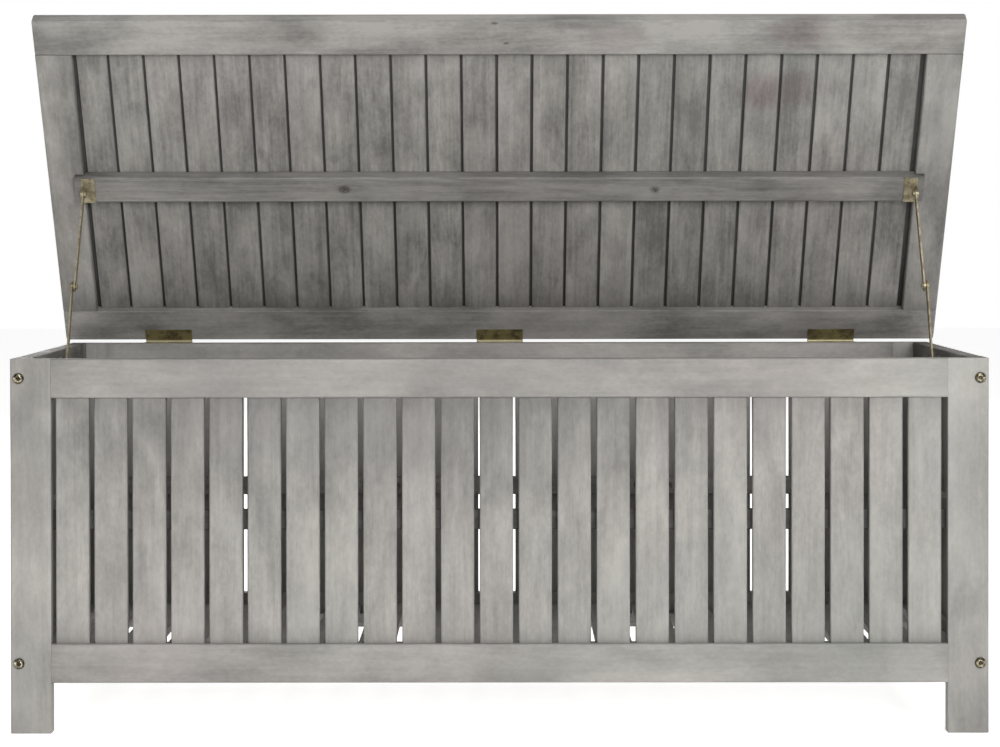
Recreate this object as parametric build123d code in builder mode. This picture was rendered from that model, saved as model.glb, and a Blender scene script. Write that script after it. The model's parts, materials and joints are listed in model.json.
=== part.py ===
from build123d import *
import math
import os

# Deck storage box: a knock-down slatted hardwood chest on four legs, with a framed
# slatted lid on three butt hinges, held open by two folding brass stays.
# Millimetres, +Z up. The origin is on the ground at the centre of the bounding box
# with the lid open. -Y is the front, +X is the right-hand side seen from the front.
# All pieces are made with the lid standing open against its stays.

# ---- Driving dimensions ----
box_width = 1200
box_depth = 505
box_height = 460
panel = 22
leg_width = 50
rail_height = 48
foot_height = 62
edge_round = 1.5

slat_width = 41
slat_gap = 6.5
slat_thickness = 12
front_slat_count = 23
side_slat_count = 8
batten_height = 25
batten_thickness = 12

floor_slat_width = 45
floor_slat_thickness = 12
floor_slat_count = 18
floor_pitch = 60.4
floor_end_slat_width = 19
floor_batten_lift = 7
floor_batten_height = 15
floor_batten_depth = 20

lid_width = 1220
lid_length = 515
lid_thickness = 18
lid_open = 56
lid_front_rail_width = 52
lid_back_rail_width = 50
lid_stile_width = 48
lid_slat_width = 43.3
lid_slat_pitch = 46.8
lid_slat_count = 24
lid_end_slat_width = 40
lid_slat_thickness = 9
lid_slat_recess = 8
lid_round = 2
cleat_width = 39
cleat_stand = 9
cleat_length = 1148

# ---- Joinery ----
tenon_length = 30
short_tenon_length = 8
tenon_thickness = 10
tenon_margin = 8
tongue_length = 8
tongue_thickness = 6
lid_tongue_thickness = 5
edge_tongue_reach = 3
edge_tongue_thickness = 2.4
tongue_margin = 2
fit = 0.2

# ---- Fasteners ----
bolt_radius = 3
bolt_hole_radius = 3.25
bolt_head_radius = 6.75
bolt_head_height = 3
bolt_length = 50
bolt_inset = 10.5
hex_socket_radius = 3
hex_socket_depth = 2
nut_radius = 5
nut_length = 14
nut_from_leg = 22
screw_head_radius = 3.4
screw_head_depth = 2
screw_radius = 1.6
screw_slot_width = 0.9
screw_slot_depth = 1
screw_clearance = 0.05

# ---- Hinges ----
hinge_length = 65
hinge_spacing = 465
hinge_leaf_width = 20
hinge_leaf_thickness = 0.9
hinge_knuckle_radius = 2.5
hinge_pin_radius = 1.4
hinge_knuckles = 5
knuckle_gap = 0.3
hinge_gap = 2
hinge_setback = 2
running = 0.05

# ---- Folding stays ----
arm_width = 12
arm_thickness = 2
eye_radius = 7
lower_arm_plane = 570
upper_arm_plane = 566.3
upper_eye_plane = 561.3
elbow_sag = 6
pivot_radius = 2.5
head_clearance = 0.4
rivet_head_radius = 4.5
rivet_head_height = 2
stay_plate = 1.6
ear_plane = 563.5
ear_stand = 10
flange_width = 17.6
flange_length = 38
side_plate_thickness = 2
side_plate_width = 18
side_plate_height = 36
side_pivot_behind_front = 248
side_pivot_height = 424
boss_radius = 6
open_pivot_clearance = 0.3

# ---- Worked-out positions ----
slat_pitch = slat_width + slat_gap
opening_low = foot_height + rail_height
opening_high = box_height - rail_height
opening_height = opening_high - opening_low
opening_middle = (opening_low + opening_high) / 2
bottom_rail_z = foot_height + rail_height / 2
top_rail_z = box_height - rail_height / 2
rail_heights = {"bottom": bottom_rail_z, "top": top_rail_z}
leg_inner = box_width / 2 - leg_width
leg_centre = box_width / 2 - leg_width / 2
side_centre = box_width / 2 - panel / 2
side_inner = box_width / 2 - panel
bolt_x = box_width / 2 - bolt_inset
side_length = box_depth - 2 * panel
side_opening = side_slat_count * slat_pitch + slat_gap
side_stile_width = (side_length - side_opening) / 2

open_sin = math.sin(math.radians(lid_open))
open_cos = math.cos(math.radians(lid_open))
lid_top = hinge_gap / 2 + lid_thickness
rear_reach = (
    hinge_setback
    + lid_round
    - (hinge_setback + lid_round) * open_cos
    + (lid_top - lid_round) * open_sin
)
box_front = (bolt_head_height - box_depth - rear_reach) / 2
box_back = box_front + box_depth
box_middle = (box_front + box_back) / 2
panel_centre = {"front": box_front + panel / 2, "back": box_back - panel / 2}
inward = {"front": 1, "back": -1}
sides = {"left": -1, "right": 1}

pin_y = box_back + hinge_setback
pin_z = box_height + hinge_gap / 2
hinge_centres = [-hinge_spacing, 0, hinge_spacing]
lid = Plane(origin=(0, pin_y, pin_z), x_dir=(1, 0, 0), z_dir=(0, open_sin, open_cos))
lid_under = hinge_gap / 2
lid_rear = -hinge_setback
lid_front = lid_rear - lid_length
lid_middle = (lid_rear + lid_front) / 2
lid_stile_inner = lid_width / 2 - lid_stile_width
lid_slat_low = lid_under + lid_slat_recess
lid_slat_centre = lid_slat_low + lid_slat_thickness / 2
cleat_face = lid_under - cleat_stand

lower_pivot = Vector(0, box_front + side_pivot_behind_front, side_pivot_height)
upper_pivot_local = (0, lid_middle, cleat_face - ear_stand)
upper_pivot = lid.from_local_coords(Vector(*upper_pivot_local))
stay_chord = upper_pivot - lower_pivot
elbow_side = Vector(0, stay_chord.Z, -stay_chord.Y).normalized()
elbow = lower_pivot + stay_chord * 0.5 + elbow_side * elbow_sag
arm_length = (elbow - lower_pivot).length

top_align = (Align.CENTER, Align.CENTER, Align.MAX)
base_align = (Align.CENTER, Align.CENTER, Align.MIN)


# ---- Helpers ----
def spread(count, pitch):
    """Centres of evenly spaced pieces about zero."""
    return [(i - (count - 1) / 2) * pitch for i in range(count)]


def on_lid(x, v, w):
    """A location on the lid: x along its width, v towards its rear, w out of its top."""
    return lid.location * Location((x, v, w))


def screw_holes(places, length):
    """Cuts countersunk clearance holes; each place's Z points out of the surface."""
    shank = screw_radius + screw_clearance
    head = screw_head_radius + screw_clearance
    with Locations(*places):
        Cone(shank, head, screw_head_depth, align=top_align, mode=Mode.SUBTRACT)
        Cylinder(shank, length + fit, align=top_align, mode=Mode.SUBTRACT)


def screws(places, length):
    """Adds countersunk screws with a cross recess, their heads flush at the places."""
    slot = 2 * screw_head_radius * 0.62
    with Locations(*places):
        Cylinder(screw_radius, length, align=top_align)
        Cone(screw_radius, screw_head_radius, screw_head_depth, align=top_align)
        Box(slot, screw_slot_width, screw_slot_depth, align=top_align, mode=Mode.SUBTRACT)
        Box(screw_slot_width, slot, screw_slot_depth, align=top_align, mode=Mode.SUBTRACT)


def facing(direction, points):
    """Locations at the points with their Z along the direction."""
    return [Plane(origin=point, z_dir=direction).location for point in points]


def barrel_places(side, panel_name):
    """Barrel nut centres on one side stile, on the inner face, Z pointing inwards."""
    y = panel_centre[panel_name] + inward[panel_name] * (panel / 2 + nut_from_leg)
    points = [(side * side_inner, y, z) for z in rail_heights.values()]
    return facing((-side, 0, 0), points)


def bolt_places(side, panel_name):
    """Bolt head seats on the outer face of one leg, Z pointing outwards."""
    y = panel_centre[panel_name] - inward[panel_name] * panel / 2
    points = [(side * bolt_x, y, z) for z in rail_heights.values()]
    return facing((0, -inward[panel_name], 0), points)


# ---- Screw layouts ----
def panel_screw_places(panel_name):
    """Screws through a mid batten into each slat, from the inside of the box."""
    step = slat_thickness / 2 + batten_thickness
    y = panel_centre[panel_name] + inward[panel_name] * step
    points = [(x, y, opening_middle) for x in spread(front_slat_count, slat_pitch)]
    return facing((0, inward[panel_name], 0), points)


def side_screw_places(side):
    """Screws through a side panel's mid batten into each slat."""
    x = side * (side_centre - slat_thickness / 2 - batten_thickness)
    offsets = spread(side_slat_count, slat_pitch)
    points = [(x, box_middle + offset, opening_middle) for offset in offsets]
    return facing((-side, 0, 0), points)


floor_batten_low = foot_height + floor_batten_lift
floor_batten_top = floor_batten_low + floor_batten_height
floor_top = floor_batten_top + floor_slat_thickness
floor_margin = 1
floor_end_x = side_inner - floor_margin - floor_end_slat_width / 2
floor_slat_length = side_length - 2 * floor_margin
floor_batten_y = side_length / 2 - floor_batten_depth / 2
floor_xs = spread(floor_slat_count, floor_pitch)
floor_end_xs = [-floor_end_x, floor_end_x]
floor_screw_places = facing(
    (0, 0, 1),
    [
        (x, box_middle + end * floor_batten_y, floor_top)
        for x in floor_xs + floor_end_xs
        for end in (-1, 1)
    ],
)
batten_screw_length = batten_thickness + 8
floor_screw_length = floor_slat_thickness + 12

hinge_screw_xs = [c + dx for c in hinge_centres for dx in (-22, 0, 22)]
hinge_screw_v = -12
hinge_screw_length = 14
box_leaf_top = box_height + hinge_leaf_thickness
box_hinge_screw_places = facing(
    (0, 0, 1), [(x, pin_y + hinge_screw_v, box_leaf_top) for x in hinge_screw_xs]
)
lid_leaf_face = lid_under - hinge_leaf_thickness
turn_under = Location((0, 0, 0), (180, 0, 0))
lid_hinge_screw_places = [
    on_lid(x, hinge_screw_v, lid_leaf_face) * turn_under for x in hinge_screw_xs
]

flange_face = cleat_face - stay_plate
flange_centre = ear_plane + stay_plate / 2 - flange_width / 2
bracket_screw_x = flange_centre - 3
bracket_screw_places = {
    name: [
        on_lid(side * bracket_screw_x, lid_middle + dv, flange_face) * turn_under
        for dv in (-13, 13)
    ]
    for name, side in sides.items()
}
bracket_screw_length = 14
cleat_screw_x = 210
cleat_screw_places = [on_lid(s * cleat_screw_x, lid_middle, cleat_face) * turn_under for s in (-1, 1)]
cleat_screw_length = cleat_stand + lid_slat_recess + 6

side_plate_face = side_inner - side_plate_thickness
side_bracket_screw_places = {
    name: facing(
        (-side, 0, 0),
        [
            (side * side_plate_face, lower_pivot.Y, side_pivot_height + dz)
            for dz in (12, 21)
        ],
    )
    for name, side in sides.items()
}
side_bracket_screw_length = 16

os.makedirs("parts", exist_ok=True)

# ---- Legs: each runs the full height and takes a top and a bottom rail ----
for panel_name, y in panel_centre.items():
    for side_name, side in sides.items():
        with BuildPart() as leg:
            with BuildSketch(Plane.XY):
                with Locations((side * leg_centre, y)):
                    RectangleRounded(leg_width, panel, edge_round)
            extrude(amount=box_height)
            chamfer(leg.faces().sort_by(Axis.Z)[0].edges(), 1)
            mortise_x = side * (leg_inner + tenon_length / 2)
            with Locations(*[(mortise_x, y, z) for z in rail_heights.values()]):
                Box(
                    tenon_length + fit,
                    tenon_thickness + fit,
                    rail_height - 2 * tenon_margin + fit,
                    mode=Mode.SUBTRACT,
                )
            with Locations(*bolt_places(side, panel_name)):
                Cylinder(bolt_hole_radius, panel, align=top_align, mode=Mode.SUBTRACT)
        leg_name = f"{panel_name}_{side_name}_leg"
        leg.part.label = leg_name
        export_step(leg.part, f"parts/{leg_name}.step")

# ---- Front and back rails: tenoned into the legs, grooved for the slat tongues ----
slat_xs = spread(front_slat_count, slat_pitch)
for panel_name, y in panel_centre.items():
    for rail_name, z in rail_heights.items():
        groove_z = opening_low if rail_name == "bottom" else opening_high
        groove_way = -1 if rail_name == "bottom" else 1
        groove_depth = tongue_length + fit
        with BuildPart() as rail:
            with BuildSketch(Plane.YZ):
                with Locations((y, z)):
                    RectangleRounded(panel, rail_height, edge_round)
            extrude(amount=leg_inner, both=True)
            with Locations((0, y, z)):
                Box(2 * (leg_inner + tenon_length), tenon_thickness, rail_height - 2 * tenon_margin)
            with Locations(*[(x, y, groove_z + groove_way * groove_depth / 2) for x in slat_xs]):
                Box(
                    slat_width - 2 * tongue_margin + fit,
                    tongue_thickness + fit,
                    groove_depth,
                    mode=Mode.SUBTRACT,
                )
            if panel_name == "back" and rail_name == "top":
                screw_holes(box_hinge_screw_places, hinge_screw_length)
        rail.part.label = f"{panel_name}_{rail_name}_rail"
        export_step(rail.part, f"parts/{panel_name}_{rail_name}_rail.step")

# ---- Front and back slats and the mid battens that tie them together ----
for panel_name, y in panel_centre.items():
    batten_y = y + inward[panel_name] * (slat_thickness + batten_thickness) / 2
    with BuildPart() as slats:
        with BuildSketch(Plane.XY.offset(opening_low)):
            with Locations(*[(x, y) for x in slat_xs]):
                RectangleRounded(slat_width, slat_thickness, edge_round)
        extrude(amount=opening_height)
        with Locations(*[(x, y, opening_middle) for x in slat_xs]):
            Box(slat_width - 2 * tongue_margin, tongue_thickness, opening_height + 2 * tongue_length)
        screw_holes(panel_screw_places(panel_name), batten_screw_length)
    slats.part.label = f"{panel_name}_slats"
    export_step(slats.part, f"parts/{panel_name}_slats.step")

    with BuildPart() as batten:
        with BuildSketch(Plane.YZ):
            with Locations((batten_y, opening_middle)):
                RectangleRounded(batten_thickness, batten_height, edge_round)
        extrude(amount=leg_inner - 1, both=True)
        screw_holes(panel_screw_places(panel_name), batten_screw_length)
    batten.part.label = f"{panel_name}_batten"
    export_step(batten.part, f"parts/{panel_name}_batten.step")

# ---- Side panels: stiles, rails, slats and a mid batten, standing between the legs ----
side_slat_ys = [box_middle + offset for offset in spread(side_slat_count, slat_pitch)]
for side_name, side in sides.items():
    x = side * side_centre
    for panel_name in panel_centre:
        way = inward[panel_name]
        stile_y = panel_centre[panel_name] + way * (panel + side_stile_width) / 2
        mortise_y = stile_y + way * (side_stile_width - short_tenon_length) / 2
        with BuildPart() as stile:
            with BuildSketch(Plane.XY.offset(foot_height)):
                with Locations((x, stile_y)):
                    RectangleRounded(panel, side_stile_width, edge_round)
            extrude(amount=box_height - foot_height)
            with Locations(*[(x, mortise_y, z) for z in rail_heights.values()]):
                Box(
                    tenon_thickness + fit,
                    short_tenon_length + fit,
                    rail_height - 2 * tenon_margin + fit,
                    mode=Mode.SUBTRACT,
                )
            with Locations(*bolt_places(side, panel_name)):
                Cylinder(bolt_hole_radius, bolt_length + 1, align=top_align, mode=Mode.SUBTRACT)
            with Locations(*barrel_places(side, panel_name)):
                Cylinder(nut_radius + fit, nut_length + 1, align=top_align, mode=Mode.SUBTRACT)
        stile_name = f"{side_name}_side_{panel_name}_stile"
        stile.part.label = stile_name
        export_step(stile.part, f"parts/{stile_name}.step")

    for rail_name, z in rail_heights.items():
        groove_z = opening_low if rail_name == "bottom" else opening_high
        groove_way = -1 if rail_name == "bottom" else 1
        groove_depth = tongue_length + fit
        with BuildPart() as rail:
            with BuildSketch(Plane.XZ.offset(-box_middle)):
                with Locations((x, z)):
                    RectangleRounded(panel, rail_height, edge_round)
            extrude(amount=side_opening / 2, both=True)
            with Locations((x, box_middle, z)):
                Box(
                    tenon_thickness,
                    side_opening + 2 * short_tenon_length,
                    rail_height - 2 * tenon_margin,
                )
            with Locations(*[(x, y, groove_z + groove_way * groove_depth / 2) for y in side_slat_ys]):
                Box(
                    tongue_thickness + fit,
                    slat_width - 2 * tongue_margin + fit,
                    groove_depth,
                    mode=Mode.SUBTRACT,
                )
            if rail_name == "top":
                screw_holes(side_bracket_screw_places[side_name], side_bracket_screw_length)
        rail.part.label = f"{side_name}_side_{rail_name}_rail"
        export_step(rail.part, f"parts/{side_name}_side_{rail_name}_rail.step")

    with BuildPart() as slats:
        with BuildSketch(Plane.XY.offset(opening_low)):
            with Locations(*[(x, y) for y in side_slat_ys]):
                RectangleRounded(slat_thickness, slat_width, edge_round)
        extrude(amount=opening_height)
        with Locations(*[(x, y, opening_middle) for y in side_slat_ys]):
            Box(tongue_thickness, slat_width - 2 * tongue_margin, opening_height + 2 * tongue_length)
        screw_holes(side_screw_places(side), batten_screw_length)
    slats.part.label = f"{side_name}_side_slats"
    export_step(slats.part, f"parts/{side_name}_side_slats.step")

    with BuildPart() as batten:
        with BuildSketch(Plane.XZ.offset(-box_middle)):
            with Locations((side * (side_centre - (slat_thickness + batten_thickness) / 2), opening_middle)):
                RectangleRounded(batten_thickness, batten_height, edge_round)
        extrude(amount=side_opening / 2 - 1, both=True)
        screw_holes(side_screw_places(side), batten_screw_length)
    batten.part.label = f"{side_name}_side_batten"
    export_step(batten.part, f"parts/{side_name}_side_batten.step")

# ---- Floor: slats laid front to back on two battens inside the bottom rails ----
for panel_name, way in inward.items():
    with BuildPart() as floor_batten:
        with BuildSketch(Plane.YZ):
            with Locations((box_middle - way * floor_batten_y, floor_batten_low + floor_batten_height / 2)):
                RectangleRounded(floor_batten_depth, floor_batten_height, edge_round)
        extrude(amount=side_inner - floor_margin, both=True)
        screw_holes(floor_screw_places, floor_screw_length)
    floor_batten.part.label = f"{panel_name}_floor_batten"
    export_step(floor_batten.part, f"parts/{panel_name}_floor_batten.step")

with BuildPart() as floor_slats:
    with BuildSketch(Plane.XZ.offset(-box_middle)):
        with Locations(*[(x, floor_batten_top + floor_slat_thickness / 2) for x in floor_xs]):
            RectangleRounded(floor_slat_width, floor_slat_thickness, edge_round)
        with Locations(*[(x, floor_batten_top + floor_slat_thickness / 2) for x in floor_end_xs]):
            RectangleRounded(floor_end_slat_width, floor_slat_thickness, edge_round)
    extrude(amount=floor_slat_length / 2, both=True)
    screw_holes(floor_screw_places, floor_screw_length)
floor_slats.part.label = "floor_slats"
export_step(floor_slats.part, "parts/floor_slats.step")

# ---- Knock-down fittings: eight bolts through the legs into barrel nuts ----
all_bolts = [place for side in sides.values() for name in inward for place in bolt_places(side, name)]
all_nuts = [place for side in sides.values() for name in inward for place in barrel_places(side, name)]
with BuildPart() as frame_bolts:
    with Locations(*all_bolts):
        Cylinder(bolt_radius, bolt_length, align=top_align)
        Cylinder(bolt_head_radius, bolt_head_height, align=base_align)
    heads = frame_bolts.edges().filter_by(GeomType.CIRCLE)
    outer = heads.filter_by(lambda edge: abs(edge.radius - bolt_head_radius) < 0.01)
    front_rims = outer.group_by(Axis.Y)[0]
    back_rims = outer.group_by(Axis.Y)[-1]
    fillet(front_rims + back_rims, bolt_head_height * 0.7)
    with Locations(*[place * Location((0, 0, bolt_head_height)) for place in all_bolts]):
        with Locations((0, 0, -hex_socket_depth / 2)):
            Cylinder(hex_socket_radius, hex_socket_depth, mode=Mode.SUBTRACT)
frame_bolts.part.label = "frame_bolts"
export_step(frame_bolts.part, "parts/frame_bolts.step")

with BuildPart() as barrel_nuts:
    with Locations(*all_nuts):
        Cylinder(nut_radius, nut_length, align=top_align)
        Box(2 * nut_radius * 0.7, 1.2, 1, align=top_align, mode=Mode.SUBTRACT)
    with Locations(*all_bolts):
        Cylinder(bolt_radius + running, bolt_length + 1, align=top_align, mode=Mode.SUBTRACT)
barrel_nuts.part.label = "barrel_nuts"
export_step(barrel_nuts.part, "parts/barrel_nuts.step")

# ---- Lid frame ----
lid_rails = {
    "front": (lid_front + lid_front_rail_width / 2, lid_front_rail_width),
    "back": (lid_rear - lid_back_rail_width / 2, lid_back_rail_width),
}
lid_frame_centre = lid_under + lid_thickness / 2
lid_opening_length = lid_length - lid_front_rail_width - lid_back_rail_width
lid_opening_middle = lid_middle + (lid_front_rail_width - lid_back_rail_width) / 2
lid_slat_gap = lid_slat_pitch - lid_slat_width
lid_end_x = (lid_slat_count - 2) * lid_slat_pitch / 2 + (lid_slat_gap + lid_end_slat_width) / 2
lid_slat_layout = [(-lid_end_x, lid_end_slat_width)]
lid_slat_layout += [(x, lid_slat_width) for x in spread(lid_slat_count - 2, lid_slat_pitch)]
lid_slat_layout += [(lid_end_x, lid_end_slat_width)]
lid_end_gap = lid_stile_inner - lid_end_x - lid_end_slat_width / 2
edge_groove_depth = edge_tongue_reach + fit
stile_centre = lid_width / 2 - lid_stile_width / 2
lid_tenon_thickness = 7
for rail_name, (v, rail_width) in lid_rails.items():
    groove_way = 1 if rail_name == "front" else -1
    groove_v = v + groove_way * (rail_width - tongue_length - fit) / 2
    mortise_v = v + groove_way * (rail_width - tenon_length - fit) / 2
    profile = Plane(
        origin=lid.from_local_coords(Vector(0, v, lid_frame_centre)),
        x_dir=lid.y_dir,
        z_dir=(1, 0, 0),
    )
    with BuildPart() as rail:
        with BuildSketch(profile):
            RectangleRounded(rail_width, lid_thickness, lid_round)
        extrude(amount=lid_width / 2, both=True)
        chamfer(rail.faces().filter_by(Axis.X).edges(), 1)
        for x, width in lid_slat_layout:
            with Locations(on_lid(x, groove_v, lid_slat_centre)):
                Box(
                    width - 2 * tongue_margin + fit,
                    tongue_length + fit,
                    lid_tongue_thickness + fit,
                    mode=Mode.SUBTRACT,
                )
        with Locations(*[on_lid(s * stile_centre, mortise_v, lid_frame_centre) for s in (-1, 1)]):
            Box(
                lid_stile_width - 2 * tenon_margin + fit,
                tenon_length + fit,
                lid_tenon_thickness + fit,
                mode=Mode.SUBTRACT,
            )
        if rail_name == "back":
            screw_holes(lid_hinge_screw_places, hinge_screw_length)
    rail.part.label = f"lid_{rail_name}_rail"
    export_step(rail.part, f"parts/lid_{rail_name}_rail.step")

for side_name, side in sides.items():
    profile = Plane(
        origin=lid.from_local_coords(
            Vector(side * stile_centre, lid_opening_middle, lid_frame_centre)
        ),
        x_dir=(1, 0, 0),
        z_dir=lid.y_dir,
    )
    with BuildPart() as stile:
        with BuildSketch(profile):
            RectangleRounded(lid_stile_width, lid_thickness, lid_round)
        extrude(amount=lid_opening_length / 2, both=True)
        with Locations(on_lid(side * stile_centre, lid_opening_middle, lid_frame_centre)):
            Box(
                lid_stile_width - 2 * tenon_margin,
                lid_opening_length + 2 * tenon_length,
                lid_tenon_thickness,
            )
        groove_x = side * (lid_stile_inner + edge_groove_depth / 2)
        with Locations(on_lid(groove_x, lid_opening_middle, lid_slat_centre)):
            Box(
                edge_groove_depth,
                lid_opening_length,
                edge_tongue_thickness + fit,
                mode=Mode.SUBTRACT,
            )
    stile.part.label = f"lid_{side_name}_stile"
    export_step(stile.part, f"parts/lid_{side_name}_stile.step")

# The slats meet edge to edge with a gap that a tongue closes, so the lid sheds rain.
left_tongues = [(lid_slat_layout[0][0] - lid_end_slat_width / 2, -1, lid_end_gap)]
right_tongues = [(x + width / 2, 1, lid_slat_gap) for x, width in lid_slat_layout[:-1]]
right_tongues += [(lid_end_x + lid_end_slat_width / 2, 1, lid_end_gap)]
with BuildPart() as lid_slats:
    for x, width in lid_slat_layout:
        profile = Plane(
            origin=lid.from_local_coords(Vector(x, lid_opening_middle, lid_slat_centre)),
            x_dir=(1, 0, 0),
            z_dir=lid.y_dir,
        )
        with BuildSketch(profile):
            RectangleRounded(width, lid_slat_thickness, edge_round)
        extrude(amount=lid_opening_length / 2, both=True)
        with Locations(on_lid(x, lid_opening_middle, lid_slat_centre)):
            Box(
                width - 2 * tongue_margin,
                lid_opening_length + 2 * tongue_length,
                lid_tongue_thickness,
            )
    for x, width in lid_slat_layout[1:]:
        groove_x = x - width / 2 + edge_groove_depth / 2
        with Locations(on_lid(groove_x, lid_opening_middle, lid_slat_centre)):
            Box(
                edge_groove_depth,
                lid_length,
                edge_tongue_thickness + fit,
                mode=Mode.SUBTRACT,
            )
    for edge_x, way, gap in left_tongues + right_tongues:
        reach = gap + edge_tongue_reach
        with Locations(on_lid(edge_x + way * reach / 2, lid_opening_middle, lid_slat_centre)):
            Box(reach, lid_opening_length, edge_tongue_thickness)
    screw_holes(cleat_screw_places, cleat_screw_length)
lid_slats.part.label = "lid_slats"
export_step(lid_slats.part, "parts/lid_slats.step")

# ---- Cleat under the lid: it backs the slats and laps over both stiles ----
cleat_depth = cleat_stand + lid_slat_recess
cleat_profile = Plane(
    origin=lid.from_local_coords(Vector(0, lid_middle, lid_slat_low - cleat_depth / 2)),
    x_dir=lid.y_dir,
    z_dir=(1, 0, 0),
)
lap_start = lid_stile_inner - 1
lap_length = cleat_length / 2 - lap_start
with BuildPart() as lid_cleat:
    with BuildSketch(cleat_profile):
        RectangleRounded(cleat_width, cleat_depth, lid_round)
    extrude(amount=cleat_length / 2, both=True)
    lap_x = lap_start + lap_length / 2
    with Locations(*[on_lid(s * lap_x, lid_middle, lid_under) for s in (-1, 1)]):
        Box(lap_length, cleat_width, lid_slat_recess, align=base_align, mode=Mode.SUBTRACT)
    screw_holes(cleat_screw_places, cleat_screw_length)
    for places in bracket_screw_places.values():
        screw_holes(places, bracket_screw_length)
lid_cleat.part.label = "lid_cleat"
export_step(lid_cleat.part, "parts/lid_cleat.step")

# ---- Hinges: each has a box leaf, a lid leaf and a pin ----
knuckle_pitch = hinge_length / hinge_knuckles
knuckle_length = knuckle_pitch - knuckle_gap
knuckle_xs = spread(hinge_knuckles, knuckle_pitch)
box_knuckles = [c + x for c in hinge_centres for x in knuckle_xs[0::2]]
lid_knuckles = [c + x for c in hinge_centres for x in knuckle_xs[1::2]]
along_x = Location((0, 0, 0), (0, 90, 0))
leaf_reach = hinge_leaf_width - hinge_knuckle_radius
leaf_centre = -(hinge_leaf_width + hinge_knuckle_radius) / 2
root_length = hinge_knuckle_radius - hinge_pin_radius + 1
root_centre = -(hinge_knuckle_radius + hinge_pin_radius) / 2 - 0.5


def leaf_solids(frame, knuckles, low):
    """Flat leaves with knuckles about a frame's X axis; low is the leaf's underside."""
    middle = low + hinge_leaf_thickness / 2
    with Locations(*[frame * Location((c, leaf_centre, middle)) for c in hinge_centres]):
        Box(hinge_length, leaf_reach, hinge_leaf_thickness)
    with Locations(*[frame * Location((x, root_centre, middle)) for x in knuckles]):
        Box(knuckle_length, root_length, hinge_leaf_thickness)
    with Locations(*[frame * Location((x, 0, 0)) * along_x for x in knuckles]):
        Cylinder(hinge_knuckle_radius, knuckle_length)
    with Locations(*[frame * Location((c, 0, 0)) * along_x for c in hinge_centres]):
        Cylinder(hinge_pin_radius + running, hinge_length + 2, mode=Mode.SUBTRACT)


box_hinge_frame = Location((0, pin_y, pin_z))
with BuildPart() as hinge_box_leaves:
    leaf_solids(box_hinge_frame, box_knuckles, -hinge_gap / 2)
    screw_holes(box_hinge_screw_places, hinge_screw_length)
hinge_box_leaves.part.label = "hinge_box_leaves"
export_step(hinge_box_leaves.part, "parts/hinge_box_leaves.step")

with BuildPart() as hinge_lid_leaves:
    leaf_solids(lid.location, lid_knuckles, hinge_gap / 2 - hinge_leaf_thickness)
    screw_holes(lid_hinge_screw_places, hinge_screw_length)
hinge_lid_leaves.part.label = "hinge_lid_leaves"
export_step(hinge_lid_leaves.part, "parts/hinge_lid_leaves.step")

with BuildPart() as hinge_pins:
    with Locations(*[box_hinge_frame * Location((c, 0, 0)) * along_x for c in hinge_centres]):
        Cylinder(hinge_pin_radius, hinge_length)
hinge_pins.part.label = "hinge_pins"
export_step(hinge_pins.part, "parts/hinge_pins.step")

# ---- Screws, one group for each job ----
screw_groups = {
    "batten_screws": (
        panel_screw_places("front")
        + panel_screw_places("back")
        + side_screw_places(-1)
        + side_screw_places(1),
        batten_screw_length,
    ),
    "floor_screws": (floor_screw_places, floor_screw_length),
    "hinge_box_screws": (box_hinge_screw_places, hinge_screw_length),
    "hinge_lid_screws": (lid_hinge_screw_places, hinge_screw_length),
    "cleat_screws": (cleat_screw_places, cleat_screw_length),
    "lid_bracket_screws": (
        bracket_screw_places["left"] + bracket_screw_places["right"],
        bracket_screw_length,
    ),
    "side_bracket_screws": (
        side_bracket_screw_places["left"] + side_bracket_screw_places["right"],
        side_bracket_screw_length,
    ),
}
for group_name, (places, length) in screw_groups.items():
    with BuildPart() as screw_group:
        screws(places, length)
    screw_group.part.label = group_name
    export_step(screw_group.part, f"parts/{group_name}.step")

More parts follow.
